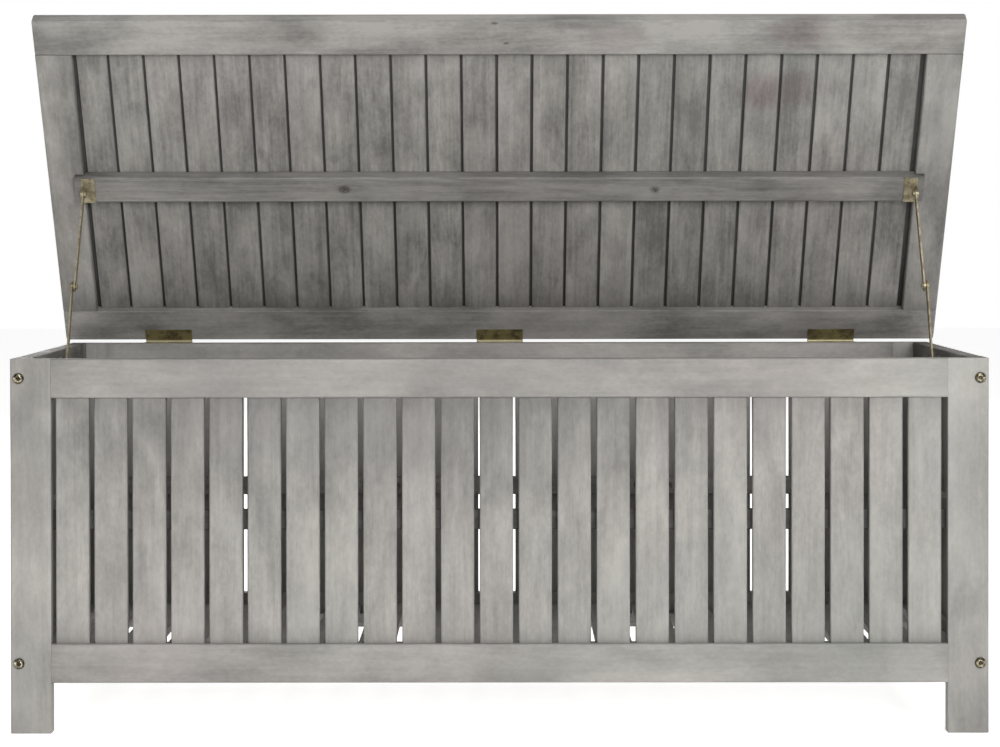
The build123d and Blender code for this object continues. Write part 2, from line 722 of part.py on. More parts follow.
# ---- Folding stays ----
for side_name, side in sides.items():
    # Bracket on the cleat: a flange with an ear that carries the upper arm's rivet.
    ear_origin = lid.from_local_coords(Vector(side * ear_plane, lid_middle, cleat_face))
    ear_profile = Plane(origin=ear_origin, x_dir=lid.y_dir, z_dir=(1, 0, 0))
    with BuildPart() as lid_bracket:
        with Locations(on_lid(side * flange_centre, lid_middle, cleat_face)):
            Box(flange_width, flange_length, stay_plate, align=top_align)
        with BuildSketch(ear_profile):
            with Locations((0, -ear_stand / 2)):
                Rectangle(2 * eye_radius, ear_stand)
            with Locations((0, -ear_stand)):
                Circle(eye_radius)
                Circle(pivot_radius + running, mode=Mode.SUBTRACT)
        extrude(amount=stay_plate / 2, both=True)
        screw_holes(bracket_screw_places[side_name], bracket_screw_length)
    lid_bracket.part.label = f"{side_name}_stay_lid_bracket"
    export_step(lid_bracket.part, f"parts/{side_name}_stay_lid_bracket.step")

    # Bracket on the side rail: a plate with a turned boss for the lower pivot.
    plate_plane = Plane(
        origin=(side * side_inner, lower_pivot.Y, side_pivot_height),
        x_dir=(0, 1, 0),
        z_dir=(-side, 0, 0),
    )
    rise = (side_plate_height - side_plate_width) / 2
    with BuildPart() as side_bracket:
        with BuildSketch(plate_plane):
            with Locations((0, -side * rise)):
                SlotOverall(side_plate_height, side_plate_width, rotation=90)
        extrude(amount=side_plate_thickness)
        with BuildSketch(plate_plane):
            Circle(boss_radius)
        extrude(amount=side_inner - lower_arm_plane - arm_thickness / 2 - fit)
        with BuildSketch(plate_plane):
            Circle(pivot_radius + running)
        extrude(amount=side_inner - lower_arm_plane, mode=Mode.SUBTRACT)
        screw_holes(side_bracket_screw_places[side_name], side_bracket_screw_length)
    side_bracket.part.label = f"{side_name}_stay_side_bracket"
    export_step(side_bracket.part, f"parts/{side_name}_stay_side_bracket.step")

    # The two arms are flat strips with round eyes. The upper one leans, so that it runs
    # from the bracket's ear out to the lower arm; its holes are still square to the box.
    arms = {
        "lower": (lower_pivot, lower_arm_plane, lower_arm_plane),
        "upper": (upper_pivot, upper_eye_plane, upper_arm_plane),
    }
    for arm_name, (start, start_x, end_x) in arms.items():
        first = Vector(side * start_x, start.Y, start.Z)
        last = Vector(side * end_x, elbow.Y, elbow.Z)
        reach = last - first
        across = Vector(0, reach.Z, -reach.Y)
        arm_plane = Plane(origin=first, x_dir=reach, z_dir=reach.cross(across))
        with BuildPart() as arm:
            with BuildSketch(arm_plane):
                with Locations((reach.length / 2, 0)):
                    SlotCenterToCenter(reach.length, arm_width)
                with Locations((0, 0), (reach.length, 0)):
                    Circle(eye_radius)
            extrude(amount=arm_thickness / 2, both=True)
            with Locations(first, last):
                with Locations(along_x):
                    Cylinder(pivot_radius + running, 4 * arm_thickness, mode=Mode.SUBTRACT)
        arm.part.label = f"{side_name}_stay_{arm_name}_arm"
        export_step(arm.part, f"parts/{side_name}_stay_{arm_name}_arm.step")

    # The elbow rivet is in two halves, one riding on each arm.
    lower_outer = lower_arm_plane + arm_thickness / 2
    lower_inner = lower_arm_plane - arm_thickness / 2
    upper_outer = upper_arm_plane + arm_thickness / 2
    upper_inner = upper_arm_plane - arm_thickness / 2
    shoulder_end = upper_outer + open_pivot_clearance
    head_seat = upper_inner - head_clearance
    with BuildPart() as elbow_rivet:
        for low, high, radius in (
            (lower_outer, lower_outer + 1.5, rivet_head_radius),
            (lower_inner, lower_outer, pivot_radius),
            (shoulder_end, lower_inner, rivet_head_radius),
        ):
            with BuildSketch(Plane(origin=(side * low, elbow.Y, elbow.Z), z_dir=(side, 0, 0))):
                Circle(radius)
            extrude(amount=high - low)
    elbow_rivet.part.label = f"{side_name}_stay_elbow_rivet"
    export_step(elbow_rivet.part, f"parts/{side_name}_stay_elbow_rivet.step")

    with BuildPart() as elbow_head:
        for low, high, radius in (
            (head_seat - rivet_head_height, head_seat, rivet_head_radius),
            (head_seat, upper_outer, pivot_radius),
        ):
            with BuildSketch(Plane(origin=(side * low, elbow.Y, elbow.Z), z_dir=(side, 0, 0))):
                Circle(radius)
            extrude(amount=high - low)
        dome = elbow_head.edges().filter_by(GeomType.CIRCLE).sort_by(Axis.X)
        fillet(dome[0 if side > 0 else -1], rivet_head_height * 0.8)
    elbow_head.part.label = f"{side_name}_stay_elbow_head"
    export_step(elbow_head.part, f"parts/{side_name}_stay_elbow_head.step")

# ---- Pivots of the stays' fixed ends ----
ear_outer = ear_plane + stay_plate / 2
eye_inner = upper_eye_plane - arm_thickness / 2 - head_clearance
with BuildPart() as lid_rivets:
    for side in sides.values():
        for low, high, radius in (
            (eye_inner - rivet_head_height, eye_inner, rivet_head_radius),
            (eye_inner, ear_outer, pivot_radius),
            (ear_outer, ear_outer + 1, rivet_head_radius),
        ):
            seat = Plane(origin=(side * low, upper_pivot.Y, upper_pivot.Z), z_dir=(side, 0, 0))
            with BuildSketch(seat):
                Circle(radius)
            extrude(amount=high - low)
lid_rivets.part.label = "stay_lid_rivets"
export_step(lid_rivets.part, "parts/stay_lid_rivets.step")

with BuildPart() as side_pivots:
    for side in sides.values():
        for low, high, radius in (
            (shoulder_end, lower_inner - fit / 2, rivet_head_radius),
            (lower_inner - fit / 2, side_inner, pivot_radius),
        ):
            seat = Plane(origin=(side * low, lower_pivot.Y, lower_pivot.Z), z_dir=(side, 0, 0))
            with BuildSketch(seat):
                Circle(radius)
            extrude(amount=high - low)
side_pivots.part.label = "stay_side_pivots"
export_step(side_pivots.part, "parts/stay_side_pivots.step")

print("box front y", round(box_front, 3), "pin y,z", round(pin_y, 3), pin_z)
print("lower pivot", lower_pivot, "upper pivot", upper_pivot, "elbow", elbow)
print("arm length", round(arm_length, 3))
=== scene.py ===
import json
import math
import random

import bmesh
import bpy
from mathutils import Matrix, Vector


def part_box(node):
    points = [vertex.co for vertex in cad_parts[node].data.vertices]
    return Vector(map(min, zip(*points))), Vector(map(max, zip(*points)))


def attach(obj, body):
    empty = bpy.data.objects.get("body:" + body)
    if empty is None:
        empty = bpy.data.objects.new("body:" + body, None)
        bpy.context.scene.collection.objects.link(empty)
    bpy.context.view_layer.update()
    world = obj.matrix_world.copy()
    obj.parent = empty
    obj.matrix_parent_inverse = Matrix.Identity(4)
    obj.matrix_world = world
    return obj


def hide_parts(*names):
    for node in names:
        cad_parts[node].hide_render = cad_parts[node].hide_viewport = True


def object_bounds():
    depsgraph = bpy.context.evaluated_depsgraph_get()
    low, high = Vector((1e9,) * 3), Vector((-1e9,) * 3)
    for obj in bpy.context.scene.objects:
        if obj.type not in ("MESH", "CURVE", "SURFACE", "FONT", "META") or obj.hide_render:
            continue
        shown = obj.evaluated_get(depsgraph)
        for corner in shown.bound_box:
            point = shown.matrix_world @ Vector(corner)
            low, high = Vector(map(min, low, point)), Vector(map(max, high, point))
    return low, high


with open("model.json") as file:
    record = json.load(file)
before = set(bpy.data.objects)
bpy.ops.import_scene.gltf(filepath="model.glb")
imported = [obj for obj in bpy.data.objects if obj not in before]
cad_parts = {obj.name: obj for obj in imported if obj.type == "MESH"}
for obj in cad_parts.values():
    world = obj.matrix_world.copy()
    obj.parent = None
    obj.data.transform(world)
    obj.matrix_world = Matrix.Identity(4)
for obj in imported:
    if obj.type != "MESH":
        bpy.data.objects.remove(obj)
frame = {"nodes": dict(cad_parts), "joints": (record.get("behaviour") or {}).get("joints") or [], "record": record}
cad_low, cad_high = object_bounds()

# ---- Driving dimensions of the box, in metres ----
SLAT_COUNT = 23
SLAT_WIDTH = 0.041
BACK_SLAT_WIDTH = 0.042
SIDE_SLAT_COUNT = 8
FLOOR_SLAT_COUNT = 18
FLOOR_SLAT_PITCH = 0.0604
FLOOR_SLAT_WIDTH = 0.045
FLOOR_END_SLAT_WIDTH = 0.019
TENON = 0.030
SHORT_TENON = 0.008
TONGUE = 0.008
TONGUE_SHOWN = 0.001

# ---- Driving dimensions of the lid ----
LID_SLAT_COUNT = 24
LID_THICKNESS = 0.018
LID_UNDER = 0.001
LID_SLAT_THICKNESS = 0.009
LID_SLAT_RECESS = 0.008
LID_SLAT_LOW = LID_UNDER + LID_SLAT_RECESS
LID_LENGTH = 0.515
LID_REAR = -0.002
LID_FRONT_RAIL = 0.052
LID_BACK_RAIL = 0.050
LID_STILE = 0.048
LID_SLAT_WIDTH = 0.0433
LID_END_SLAT_WIDTH = 0.040
LID_SLAT_PITCH = 0.0468
LID_TONGUE_THICKNESS = 0.0024
LID_TONGUE_REACH = 0.002
CLEAT_HALF = 0.574
CLEAT_WIDTH = 0.039
CLEAT_STAND = 0.009
CLEAT_STEP_CLEARANCE = 0.001

# ---- Edges and sections of a board ----
EDGE = 0.0015
LID_EDGE = 0.002
LID_SLAT_EDGE = 0.0009
EASED_EDGE = 0.0005
SQUARE_EDGE = 0.0003
TONGUE_EDGE = 0.0002
LEG_EDGES = {
    "left": (SQUARE_EDGE, EDGE, EDGE, SQUARE_EDGE),
    "right": (EDGE, SQUARE_EDGE, SQUARE_EDGE, EDGE),
}
UNDARKENED_EDGE = 0.0006
SMALLEST_EDGE = 1e-4
FULL_ROUND = 2.01
CORNER_STEPS = 3
CORNER_SUPPORT = 0.0005
EASED_SHARE = 0.3
BOARD_ENDS = 0.0004
RAIL_ENDS = 0.0001
LID_RAIL_ENDS = 0.0025
CLEAT_ENDS = 0.001
SECTION_STEP = 0.05
STEP_RISE = 1e-5
MERGE_DISTANCE = 5e-6

# ---- How far slats are off their even spacing: the most, where along x, and how far it spreads ----
DRIFTS = {"front": (-0.0042, -0.14, 0.42), "back": (-0.005, 0.10, 0.30)}
LID_DRIFT = (-0.0036, 0.05, 0.45)

# ---- How far the evenly spaced floor slats stand to one side ----
FLOOR_DRIFT = -0.0056

# ---- The slight bow of a board's long edges, a sum of waves ----
BOW = 0.00012
BOW_WAVES = 3
FAR_EDGE_BOW = -0.7
FULL_TURN = 6.28

# ---- The bolts: their x, the height midway between them, and how far each is above or below it ----
BOLT_X = 0.5895
BOLT_MIDDLE = 0.261
BOLT_RISE = 0.175

# ---- Radii, from and to, over which the marks on the hardware fade: the painted highlight on the hinge knuckles, the painted shade in the bolts' sockets and round their heads, and the bolts' domed bump ----
KNUCKLE_FADE = (0.0026, 0.0032)
SOCKET_FADE = (0.0026, 0.0032)
RIM_FADE = (0.0053, 0.0066)
DOME_FADE = (0.0030, 0.0066)

# ---- Growth rings: how deep the pith lies, how it tilts and wanders, and the rings' scale ----
PITH_DEPTH = 0.03
PITH_TILT = 0.05
PITH_WANDER = 0.035
RING_SCALE = 260.0

# ---- How far from a board's ends painted shade is held ----
END_SHADE_LENGTH = 0.03

# ---- Tints that the wood's average or its colour is multiplied by ----
WARM_GREY = (1.03, 0.985, 0.915)
GREEN_CAST = (0.96, 1.09, 0.97)
ROSE_CAST = (1.12, 0.97, 0.98)
ROSE = (0.75, 0.62, 0.68)
KNOT = (0.30, 0.27, 0.25)
# Painted shade: a deep tint for the inner tops of the sides and the back inner corners.
DEEP_SHADE = (0.29, 0.28, 0.26)
# Painted shade, partly uneven wash: a soft tint that darkens patches of the frame, slats, back top rail and lid.
SHADE_AND_WASH = (0.72, 0.73, 0.735)

# ---- Painted shade in a bolt's socket and in the line round its head ----
SOCKET_SHADE = (0.022, 0.019, 0.014)

# ---- Studio and camera ----
GROUND_HALF = 14
GROUND_DROP = 0.0005
GROUND_GLOW = 0.7
DOME = 0.22
HORIZON_FADE = (0.11, 0.38)
CAMERA_PLACE = (0.0048, -3.6709, 0.6159)
CAMERA_PITCH = math.radians(-0.5)
CAMERA_YAW = 0.0011
CAMERA_ROLL = 0.0012
SENSOR_WIDTH = 36
LENS = 100.28
LENS_SHIFT = -0.118
FARTHEST = 100

UNIT = {"X": Vector((1, 0, 0)), "Y": Vector((0, 1, 0)), "Z": Vector((0, 0, 1))}

# ---- The lid's own frame: x across, y to its rear, z out of its top ----
lid_joint = next(j for j in frame["joints"] if j["name"] == "lid_hinge")
lid_open = math.radians(-lid_joint["range_deg"][0])
lid_matrix = Matrix.Translation(Vector(lid_joint["pos_m"])) @ Matrix.Rotation(-lid_open, 4, "X")


def on_lid(x, v, w):
    """A point given in the lid's own frame."""
    return tuple(lid_matrix @ Vector((x, v, w)))


# ---- Board geometry ----
def corner_profile(width, thickness, radii):
    """A rounded rectangle as (y, z, edge) points, with support points beside each corner."""
    points = []
    for quarter, radius in enumerate(radii):
        radius = max(min(radius, width / FULL_ROUND, thickness / FULL_ROUND), SMALLEST_EDGE)
        support = min(CORNER_SUPPORT, (min(width, thickness) / 2 - radius) / 2)
        sign_y = 1 if quarter in (0, 3) else -1
        sign_z = 1 if quarter in (0, 1) else -1
        centre_y = sign_y * (width / 2 - radius)
        centre_z = sign_z * (thickness / 2 - radius)
        start = quarter * math.pi / 2
        along = ((0, -1), (1, 0), (0, 1), (-1, 0))[quarter]
        after = ((-1, 0), (0, -1), (1, 0), (0, 1))[quarter]
        first = (centre_y + radius * math.cos(start), centre_z + radius * math.sin(start))
        points.append((first[0] + along[0] * support, first[1] + along[1] * support, 0.0))
        for step in range(CORNER_STEPS + 1):
            angle = start + step * math.pi / 2 / CORNER_STEPS
            y = centre_y + radius * math.cos(angle)
            z = centre_z + radius * math.sin(angle)
            points.append((y, z, 1.0 if radius > UNDARKENED_EDGE else 0.0))
        last = points[-1]
        points.append((last[0] + after[0] * support, last[1] + after[1] * support, 0.0))
    return points


def board_rings(length, ends, lap):
    """Places along a board and how far its section is inset there, with a step at each lap."""
    near = [(0, ends), (ends * EASED_SHARE, ends * EASED_SHARE), (ends, 0)]
    count = max(2, round(length / SECTION_STEP))
    inner = [(length * i / count, 0) for i in range(1, count)]
    far = [(length - x, inset) for x, inset in reversed(near)]
    rings = near + inner + far
    if lap:
        far_lap = length - lap
        steps = [(lap, 0), (lap + STEP_RISE, 0), (far_lap - STEP_RISE, 0), (far_lap, 0)]
        rings = sorted(rings + steps)
    return rings


def board_mesh(name, size, matrix, radii, ends, step_at):
    """A board's mesh, whose attributes give the wood its grain, place, edges and seed."""
    length, width, thickness = size
    lap, clip = step_at or (None, None)
    seed = random.Random(name)
    wave = [
        (seed.uniform(-1, 1), seed.uniform(2, 7), seed.uniform(0, FULL_TURN))
        for _ in range(BOW_WAVES)
    ]
    shift = Vector((seed.uniform(0, 40), seed.uniform(-0.02, 0.02), seed.uniform(-9, 9)))
    tone = seed.uniform(-1, 1)
    mesh = bmesh.new()
    grain = mesh.verts.layers.float_vector.new("grain")
    place = mesh.verts.layers.float_vector.new("place")
    trim = mesh.verts.layers.float_vector.new("trim")
    loops = []
    for x, inset in board_rings(length, ends, lap):
        bow = sum(a * math.sin(f * x + p) for a, f, p in wave) * BOW
        loop = []
        for y, z, edge in corner_profile(width - 2 * inset, thickness - 2 * inset, radii):
            if step_at and (x <= lap or x >= length - lap):
                z = min(z, clip)
            local = Vector((x - length / 2, y + bow * (1 if y > 0 else FAR_EDGE_BOW), z))
            vert = mesh.verts.new(matrix @ local)
            vert[grain] = local
            vert[place] = vert.co
            vert[trim] = Vector((edge, min(x, length - x), tone))
            loop.append(vert)
        loops.append(loop)
    count = len(loops[0])
    for first, second in zip(loops, loops[1:]):
        for i in range(count):
            j = (i + 1) % count
            mesh.faces.new((first[i], first[j], second[j], second[i]))
    mesh.faces.new(list(reversed(loops[0])))
    mesh.faces.new(loops[-1])
    if step_at:
        bmesh.ops.remove_doubles(mesh, verts=mesh.verts, dist=MERGE_DISTANCE)
        bmesh.ops.dissolve_degenerate(mesh, dist=MERGE_DISTANCE, edges=mesh.edges)
    bmesh.ops.recalc_face_normals(mesh, faces=mesh.faces)
    data = bpy.data.meshes.new(name)
    mesh.to_mesh(data)
    mesh.free()
    data.shade_smooth()
    seeds = data.attributes.new("seed", "FLOAT_VECTOR", "POINT")
    seeds.data.foreach_set("vector", list(shift) * len(data.vertices))
    return data


def board(name, body, cad_node, size, matrix, material, radius=EDGE, ends=BOARD_ENDS, step_at=None):
    """A timber board: size is (length, width, thickness), its grain along the matrix's X."""
    radii = radius if isinstance(radius, tuple) else (radius,) * 4
    data = board_mesh(name, size, matrix, radii, ends, step_at)
    data.materials.append(material)
    piece = bpy.data.objects.new(name, data)
    bpy.context.scene.collection.objects.link(piece)
    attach(piece, body)
    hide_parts(cad_node)


def axes(origin, x_axis, z_axis):
    """A placing matrix from its origin, its X (the grain) and its Z (the face)."""
    x = Vector(x_axis).normalized()
    z = Vector(z_axis).normalized()
    y = z.cross(x)
    turn = Matrix((x, y, z)).transposed().to_4x4()
    return Matrix.Translation(Vector(origin)) @ turn


def spread(count, pitch):
    """Centres of evenly spaced pieces about zero."""
    return [(i - (count - 1) / 2) * pitch for i in range(count)]


def drift(x, most, centre, spread_out):
    """How far a slat was nailed off its even spacing, in metres along the panel."""
    return most * math.exp(-(((x - centre) / spread_out) ** 2))


# ---- Shader building blocks ----
def link(tree, source, target):
    tree.links.new(source, target)


def attribute(tree, name):
    found = tree.nodes.new("ShaderNodeAttribute")
    found.attribute_name = name
    return found.outputs["Vector"]


def object_place(tree):
    return tree.nodes.new("ShaderNodeTexCoord").outputs["Object"]


def parts_of(tree, vector):
    """The X, Y and Z sockets of a vector."""
    found = tree.nodes.new("ShaderNodeSeparateXYZ")
    link(tree, vector, found.inputs[0])
    return found.outputs


def vector_maths(tree, operation, first, second):
    """A vector operation whose second value may be a socket or a tuple."""
    found = tree.nodes.new("ShaderNodeVectorMath")
    found.operation = operation
    link(tree, first, found.inputs[0])
    if isinstance(second, tuple):
        found.inputs[1].default_value = second
    else:
        link(tree, second, found.inputs[1])
    return found.outputs[0]


def distance(tree, place, centre, factors):
    """How far a place is from a centre, with each axis scaled first."""
    away = vector_maths(tree, "SUBTRACT", place, centre)
    found = tree.nodes.new("ShaderNodeVectorMath")
    found.operation = "LENGTH"
    link(tree, vector_maths(tree, "MULTIPLY", away, factors), found.inputs[0])
    return found.outputs["Value"]


def noise(tree, vector, scale, detail=3.0, roughness=0.55, distortion=0.0):
    found = tree.nodes.new("ShaderNodeTexNoise")
    found.inputs["Scale"].default_value = scale
    found.inputs["Detail"].default_value = detail
    found.inputs["Roughness"].default_value = roughness
    found.inputs["Distortion"].default_value = distortion
    link(tree, vector, found.inputs["Vector"])
    return found.outputs["Fac"]


def stretched_noise(tree, vector, scales, detail=3.0, roughness=0.55, distortion=0.0):
    """Noise with its own scale along each axis."""
    stretched = vector_maths(tree, "MULTIPLY", vector, scales)
    return noise(tree, stretched, 1.0, detail, roughness, distortion)


def remap(tree, value, low, high, to_low=0.0, to_high=1.0, smooth=True):
    found = tree.nodes.new("ShaderNodeMapRange")
    found.interpolation_type = "SMOOTHSTEP" if smooth else "LINEAR"
    found.inputs["From Min"].default_value = low
    found.inputs["From Max"].default_value = high
    found.inputs["To Min"].default_value = to_low
    found.inputs["To Max"].default_value = to_high
    link(tree, value, found.inputs["Value"])
    return found.outputs["Result"]


def maths(tree, operation, first, second=0):
    found = tree.nodes.new("ShaderNodeMath")
    found.operation = operation
    for socket, value in zip(found.inputs, (first, second)):
        if isinstance(value, (int, float)):
            socket.default_value = value
        else:
            link(tree, value, socket)
    return found.outputs[0]


def added(tree, first, second):
    return maths(tree, "ADD", first, second)


def times(tree, first, second):
    return maths(tree, "MULTIPLY", first, second)


def hypotenuse(tree, first, second):
    return maths(tree, "SQRT", added(tree, times(tree, first, first), times(tree, second, second)))


def mix(tree, factor, first, second, blend="MIX"):
    """Mixes two colours; each may be a socket or a tuple."""
    found = tree.nodes.new("ShaderNodeMix")
    found.data_type = "RGBA"
    found.blend_type = blend
    sockets = [s for s in found.inputs if s.enabled]
    for socket, value in zip(sockets, (factor, first, second)):
        if isinstance(value, (int, float)):
            socket.default_value = value
        elif isinstance(value, tuple):
            socket.default_value = (*value, 1.0)
        else:
            link(tree, value, socket)
    return [s for s in found.outputs if s.enabled][0]


def bumped(tree, shader, layers):
    """Chains bump layers of (height socket, strength, distance) into the shader's normal."""
    normal = None
    for height, strength, reach in layers:
        bump = tree.nodes.new("ShaderNodeBump")
        bump.inputs["Strength"].default_value = strength
        bump.inputs["Distance"].default_value = reach
        link(tree, height, bump.inputs["Height"])
        if normal is not None:
            link(tree, normal, bump.inputs["Normal"])
        normal = bump.outputs["Normal"]
    link(tree, normal, shader.inputs["Normal"])


def new_material(name):
    material = bpy.data.materials.new(name)
    material.use_nodes = True
    tree = material.node_tree
    shader = tree.nodes["Principled BSDF"]
    return material, tree, shader


def dimmed(colour, share):
    """A colour with each channel multiplied by a share."""
    return tuple(channel * share for channel in colour)


# ---- Wood ----
def growth_bands(tree, along, seed, base):
    """Growth bands, by the distance from a pith line that runs almost along the board."""
    length, width, thickness = parts_of(tree, along)
    seed_parts = parts_of(tree, seed)
    wander = stretched_noise(tree, base, (3, 12, 12), 2.0)
    across = added(tree, width, seed_parts[1])
    tilt = times(tree, length, PITH_TILT)
    depth = added(tree, added(tree, thickness, PITH_DEPTH), tilt)
    depth = added(tree, depth, times(tree, wander, PITH_WANDER))
    ring_line = tree.nodes.new("ShaderNodeCombineXYZ")
    link(tree, times(tree, hypotenuse(tree, across, depth), RING_SCALE), ring_line.inputs[0])
    link(tree, seed_parts[2], ring_line.inputs[1])
    return noise(tree, ring_line.outputs[0], 1.0, 2.0, 0.6)


def stained_and_shaded(tree, colour, place, wash, spots):
    """The colour under soft ragged stains and patches of painted shade, each given as (centre, reach, tint,
    strength).
    """
    for centre, reach, tint, strength in spots:
        away = distance(tree, place, centre, tuple(1 / r for r in reach))
        ragged = added(tree, away, times(tree, wash, 0.9))
        spot = remap(tree, ragged, 0.75, 1.45, strength, 0.0)
        colour = mix(tree, spot, colour, tint, "MULTIPLY")
    return colour


def grey_wash(name, average, contrast, grain=1.0, cloud=1.0, drifts=0.2, end_shade=0.5, spots=()):
    """Grey-washed open-grained hardwood around an average reflectance, with its placed stains and patches of
    painted shade.
    """
    light, dark = (dimmed(WARM_GREY, average * (1 + sign * contrast)) for sign in (1, -1))
    material, tree, shader = new_material(name)
    along = attribute(tree, "grain")
    seed = attribute(tree, "seed")
    place = attribute(tree, "place")
    edge, from_end, tone = parts_of(tree, attribute(tree, "trim"))
    base = vector_maths(tree, "ADD", along, seed)
    bands = growth_bands(tree, along, seed, base)

    # Fibres, pores, and the uneven wash that was rubbed into them.
    fibre = stretched_noise(tree, base, (14, 420, 420), 4.0, 0.6)
    streak = stretched_noise(tree, base, (5, 130, 130), 3.0, 0.6)
    pore = stretched_noise(tree, base, (70, 1500, 1500), 1.0, 0.5)
    wash = stretched_noise(tree, base, (9, 22, 22), 3.0, 0.5, 0.6)
    patch = stretched_noise(tree, base, (26, 45, 45), 4.0, 0.6, 0.4)
    mottle = stretched_noise(tree, base, (120, 210, 210), 3.0, 0.7)
    cloudy = stretched_noise(tree, base, (4.5, 7, 7), 2.0, 0.5)

    shade = times(tree, tone, 0.07)
    layers = (
        (bands, 0.32, 0.68, 0.17 * grain),
        (fibre, 0.3, 0.7, 0.16 * grain),
        (streak, 0.3, 0.7, 0.24 * grain),
        (wash, 0.3, 0.7, 0.34 * cloud),
        (patch, 0.3, 0.7, 0.22 * cloud),
        (mottle, 0.3, 0.7, 0.20 * cloud),
        (cloudy, 0.32, 0.68, drifts),
    )
    for layer, low, high, reach in layers:
        shade = added(tree, shade, remap(tree, layer, low, high, -reach, reach))
    factor = remap(tree, shade, -0.75, 0.75, 0.0, 1.0, smooth=False)
    colour = mix(tree, factor, dark, light)

    # Dark pores, darkened arrises, and painted shade near the ends of the boards, where they meet other parts.
    pores = remap(tree, pore, 0.62, 0.74)
    colour = mix(tree, times(tree, pores, 0.3 * grain), colour, dimmed(dark, 0.45))
    arris = times(tree, edge, remap(tree, patch, 0.4, 0.62, 0.05, 0.35))
    colour = mix(tree, arris, colour, dimmed(dark, 0.55))
    near_end = remap(tree, from_end, 0.0, END_SHADE_LENGTH, 1.0, 0.0)
    end_shading = times(tree, near_end, remap(tree, patch, 0.35, 0.65, 0.0, end_shade))
    colour = mix(tree, end_shading, colour, dimmed(dark, 0.6))

    # Faint green and rose casts over the whole object, then its single stains, marks and patches of painted shade.
    cast = noise(tree, place, 3.2, 2.0, 0.5)
    green = remap(tree, cast, 0.5, 0.72, 0.0, 0.22)
    rose = remap(tree, cast, 0.5, 0.3, 0.0, 0.16)
    colour = mix(tree, green, colour, dimmed(GREEN_CAST, average))
    colour = mix(tree, rose, colour, dimmed(ROSE_CAST, average))
    colour = stained_and_shaded(tree, colour, place, wash, spots)

    link(tree, colour, shader.inputs["Base Color"])
    gloss = remap(tree, added(tree, fibre, wash), 0.7, 1.3, 0.55, 0.78)
    link(tree, gloss, shader.inputs["Roughness"])
    shader.inputs["Specular IOR Level"].default_value = 0.3
    bumped(tree, shader, [
        (patch, 0.25, 0.0006),
        (bands, 0.35 * grain, 0.0003),
        (fibre, 0.55 * grain, 0.00025),
        (maths(tree, "SUBTRACT", 1.0, pores), 0.35 * grain, 0.0002),
    ])
    return material


# ---- Metal ----
def tarnish(tree, place, wear_scale):
    """Soft clouds, fine specks, and the shade that the two make together."""
    cloud = noise(tree, place, wear_scale, 4.0, 0.6, 0.3)
    speck = noise(tree, place, wear_scale * 9, 3.0, 0.6)
    return cloud, speck, added(tree, times(tree, cloud, 0.7), times(tree, speck, 0.3))


def metal(name, bright, dull, rough_low, rough_high, wear_scale, metallic=1.0):
    """Aged metal: bright and dull in soft patches, with fine scratches."""
    material, tree, shader = new_material(name)
    place = object_place(tree)
    cloud, speck, shade = tarnish(tree, place, wear_scale)
    scratch = stretched_noise(tree, place, (900, 900, 60), 2.0, 0.5)
    link(tree, mix(tree, remap(tree, shade, 0.4, 0.6), dull, bright), shader.inputs["Base Color"])
    shader.inputs["Metallic"].default_value = metallic
    link(tree, remap(tree, shade, 0.38, 0.62, rough_high, rough_low), shader.inputs["Roughness"])
    bumped(tree, shader, [(cloud, 0.2, 0.0003), (scratch, 0.15, 0.0001)])
    return material


def hinge_finish(name, bright, dull, highlight_colour):
    """Tarnished brass leaves, with a painted highlight on the knuckles about the pin line."""
    material, tree, shader = new_material(name)
    place = object_place(tree)
    cloud, speck, shade = tarnish(tree, place, 60.0)
    colour = mix(tree, remap(tree, shade, 0.4, 0.6), dull, bright)
    from_pin = distance(tree, place, tuple(lid_joint["pos_m"]), (0, 1, 1))
    # Painted highlight along the knuckles, where light catches the round of the pin line.
    knuckle_highlight = remap(tree, from_pin, *KNUCKLE_FADE, 0.9, 0.0)
    link(tree, mix(tree, knuckle_highlight, colour, highlight_colour), shader.inputs["Base Color"])
    shader.inputs["Metallic"].default_value = 0.55
    shader.inputs["Roughness"].default_value = 0.5
    bumped(tree, shader, [(cloud, 0.2, 0.0003), (speck, 0.2, 0.0001)])
    return material


def bolt_finish(name, bright, dull):
    """Brass bolt heads, domed round each bolt's own axis, with painted shade in the socket and in a line round the
    head.
    """
    material, tree, shader = new_material(name)
    place = object_place(tree)
    x, _, z = parts_of(tree, place)
    across = maths(tree, "SUBTRACT", maths(tree, "ABSOLUTE", x), BOLT_X)
    height = maths(tree, "ABSOLUTE", maths(tree, "SUBTRACT", z, BOLT_MIDDLE))
    radius = hypotenuse(tree, across, maths(tree, "SUBTRACT", height, BOLT_RISE))
    worn = noise(tree, place, 260.0, 3.0, 0.6)
    colour = mix(tree, remap(tree, worn, 0.42, 0.6), dull, bright)
    # Painted shade: dark in the socket and in a line round the rim of each head.
    socket = remap(tree, radius, *SOCKET_FADE, 0.93, 0.0)
    rim = remap(tree, radius, *RIM_FADE, 0.0, 0.7)
    colour = mix(tree, maths(tree, "MAXIMUM", socket, rim), colour, SOCKET_SHADE)
    link(tree, colour, shader.inputs["Base Color"])
    shader.inputs["Metallic"].default_value = 1.0
    shader.inputs["Roughness"].default_value = 0.3
    dome = remap(tree, radius, *DOME_FADE, 1.0, 0.0)
    bumped(tree, shader, [(dome, 1.0, 0.0022), (worn, 0.3, 0.0004)])
    return material


